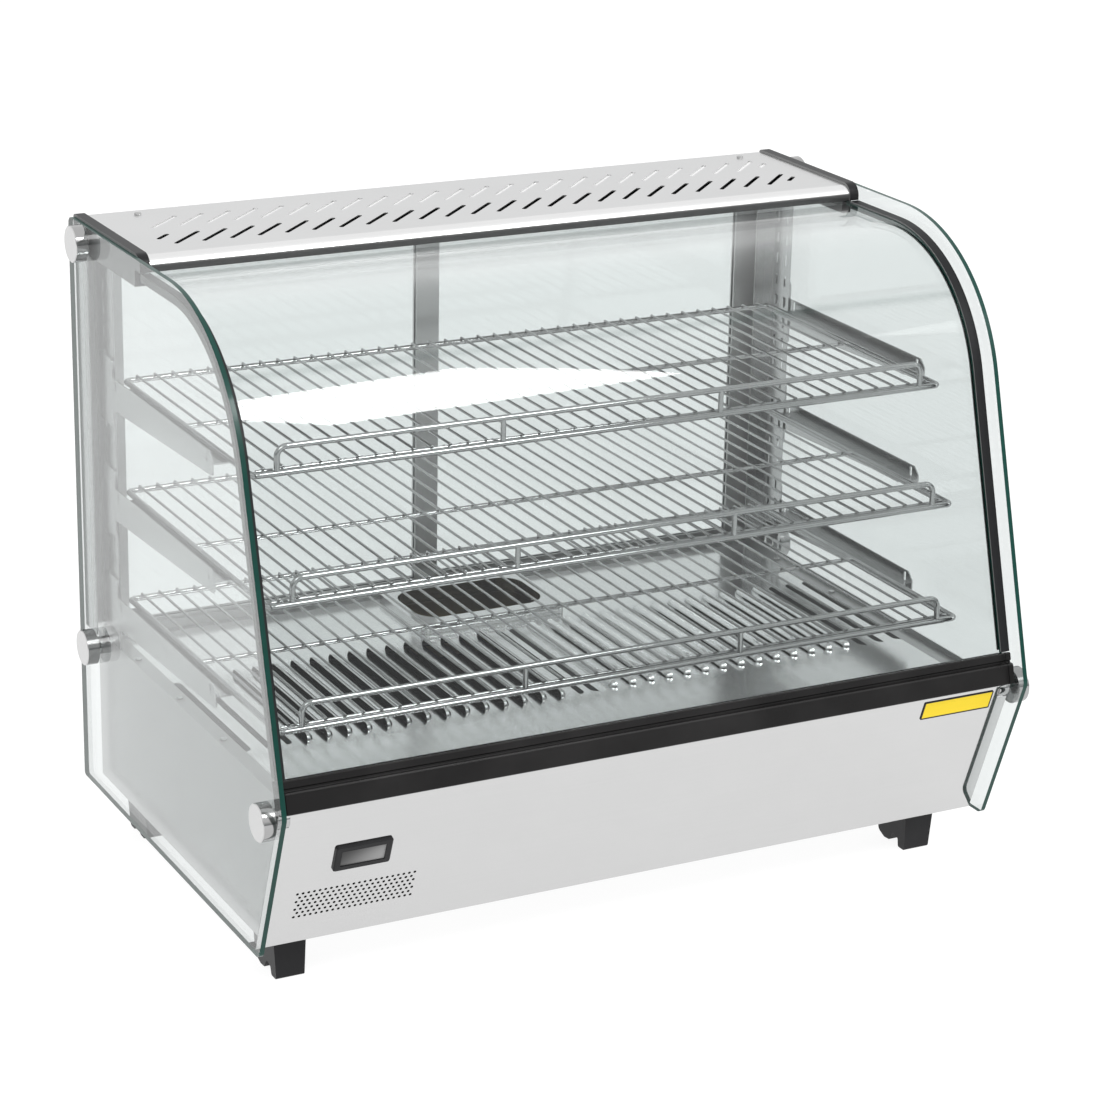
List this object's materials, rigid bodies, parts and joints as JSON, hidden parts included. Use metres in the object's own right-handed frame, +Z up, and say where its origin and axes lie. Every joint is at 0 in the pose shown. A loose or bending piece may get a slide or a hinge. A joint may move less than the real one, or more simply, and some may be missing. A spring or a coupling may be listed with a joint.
{
  "type": "hot food display case",
  "caption": "Countertop heated display case: bent front glass between flat side glasses, wire shelves, slotted hood, louvred floor, polished base, rear sliding doors.",
  "frame": {"origin": "on the floor under the centre of the overall box, midway between the side glasses", "axes": "+X to the right seen from the front, +Y to the back, +Z up; the curved glass faces -Y"},
  "size_m": [0.862, 0.5573, 0.6746],
  "materials": {
    "side_glass_clear": "clear toughened, ground edges",
    "front_glass_clear": "clear toughened, bent",
    "door_glass_clear": "clear toughened",
    "seal_black": "satin black strip",
    "trim_black": "glossy black",
    "cap_black": "satin black",
    "mirror_steel": "mirror polished stainless steel",
    "satin_steel": "satin stainless steel",
    "floor_steel": "bright stainless steel",
    "pan_steel": "bright stainless steel",
    "post_steel": "bright stainless steel",
    "hood_steel": "bright stainless steel",
    "bracket_steel": "bright zinc plate",
    "cap_steel": "turned, satin face and polished rim",
    "bright_chrome": "bright chrome plate",
    "screw_steel": "bright zinc plate",
    "grey_aluminium": "satin anodised",
    "moulded_black": "fine moulded texture",
    "bezel_black": "semi-gloss black",
    "display_window": "dark clear window",
    "plate_yellow": "printed gloss",
    "reflector_white": "white gloss paint",
    "lamp_glass": "frosted tube",
    "heater_sheath": "heat-tinted sheath",
    "fan_black": "moulded",
    "thermostat_case": "moulded",
    "rocker_black": "glossy black"
  },
  "bodies": {
    "case": {"base_pan": "satin_steel", "base_side_left": "satin_steel", "base_side_right": "satin_steel", "blank_nameplate": "plate_yellow", "bracket_bottom_left": "bracket_steel", "bracket_bottom_right": "bracket_steel", "bracket_middle_left": "bracket_steel", "bracket_middle_right": "bracket_steel", "bracket_top_left": "bracket_steel", "bracket_top_right": "bracket_steel", "cable_gland": "moulded_black", "cover_screws": "screw_steel", "door_sill": "satin_steel", "door_track_lower": "grey_aluminium", "door_track_upper": "grey_aluminium", "fan_housing": "fan_black", "floor_tray": "floor_steel", "front_glass": "front_glass_clear", "front_panel": "mirror_steel", "front_trim": "trim_black", "glass_seal_left": "seal_black", "glass_seal_right": "seal_black", "heater_left": "heater_sheath", "heater_right": "heater_sheath", "hood_end_left": "cap_black", "hood_end_right": "cap_black", "lamp_batten": "reflector_white", "lamp_holders": "reflector_white", "lamp_tube": "lamp_glass", "leg_front_left": "moulded_black", "leg_front_right": "moulded_black", "leg_rear_left": "moulded_black", "leg_rear_right": "moulded_black", "rear_panel": "satin_steel", "rear_post_left": "post_steel", "rear_post_right": "post_steel", "side_glass_left": "side_glass_clear", "side_glass_right": "side_glass_clear", "standoff_caps": "cap_steel", "standoff_spacers": "bright_chrome", "standoff_studs": "screw_steel", "switch_housings": "moulded_black", "terminal_block": "reflector_white", "thermometer_bezel": "bezel_black", "thermometer_module": "moulded_black", "thermometer_window": "display_window", "thermostat_body": "thermostat_case", "top_cover": "hood_steel"},
    "left_door": {"left_door_frame": "grey_aluminium", "left_door_glass": "door_glass_clear"},
    "right_door": {"right_door_frame": "grey_aluminium", "right_door_glass": "door_glass_clear"},
    "lift_out_pan": {"water_pan": "pan_steel"},
    "top_shelf": {"wire_shelf_top": "bright_chrome"},
    "middle_shelf": {"wire_shelf_middle": "bright_chrome"},
    "bottom_shelf": {"wire_shelf_bottom": "bright_chrome"},
    "heat_knob": {"thermostat_knob": "moulded_black"},
    "power_switch": {"power_rocker": "rocker_black"},
    "light_switch": {"light_rocker": "rocker_black"},
    "fan": {"fan_rotor": "fan_black"}
  },
  "joints": [
    {"name": "left_door_slide", "type": "slide", "parent": "case", "child": "left_door", "axis": [1, 0, 0], "range_m": [0, 0.38]},
    {"name": "right_door_slide", "type": "slide", "parent": "case", "child": "right_door", "axis": [-1, 0, 0], "range_m": [0, 0.36]},
    {"name": "water_pan_lift", "type": "slide", "parent": "case", "child": "lift_out_pan", "axis": [0, 0, 1], "range_m": [0, 0.038]},
    {"name": "top_shelf_lift", "type": "slide", "parent": "case", "child": "top_shelf", "axis": [0, 0, 1], "range_m": [0, 0.03]},
    {"name": "middle_shelf_lift", "type": "slide", "parent": "case", "child": "middle_shelf", "axis": [0, 0, 1], "range_m": [0, 0.03]},
    {"name": "bottom_shelf_lift", "type": "slide", "parent": "case", "child": "bottom_shelf", "axis": [0, 0, 1], "range_m": [0, 0.03]},
    {"name": "heat_knob_turn", "type": "hinge", "parent": "case", "child": "heat_knob", "pos_m": [0.3, 0.2572, 0.14], "axis": [0, -1, 0], "range_deg": [0, 270]},
    {"name": "power_switch_rock", "type": "hinge", "parent": "case", "child": "power_switch", "pos_m": [0.232, 0.2545, 0.14], "axis": [1, 0, 0], "range_deg": [0, 20]},
    {"name": "light_switch_rock", "type": "hinge", "parent": "case", "child": "light_switch", "pos_m": [0.19, 0.2545, 0.14], "axis": [1, 0, 0], "range_deg": [0, 20]},
    {"name": "fan_turn", "type": "hinge", "parent": "case", "child": "fan", "pos_m": [0, 0.03, 0.122], "axis": [0, 0, 1], "continuous": true}
  ]
}
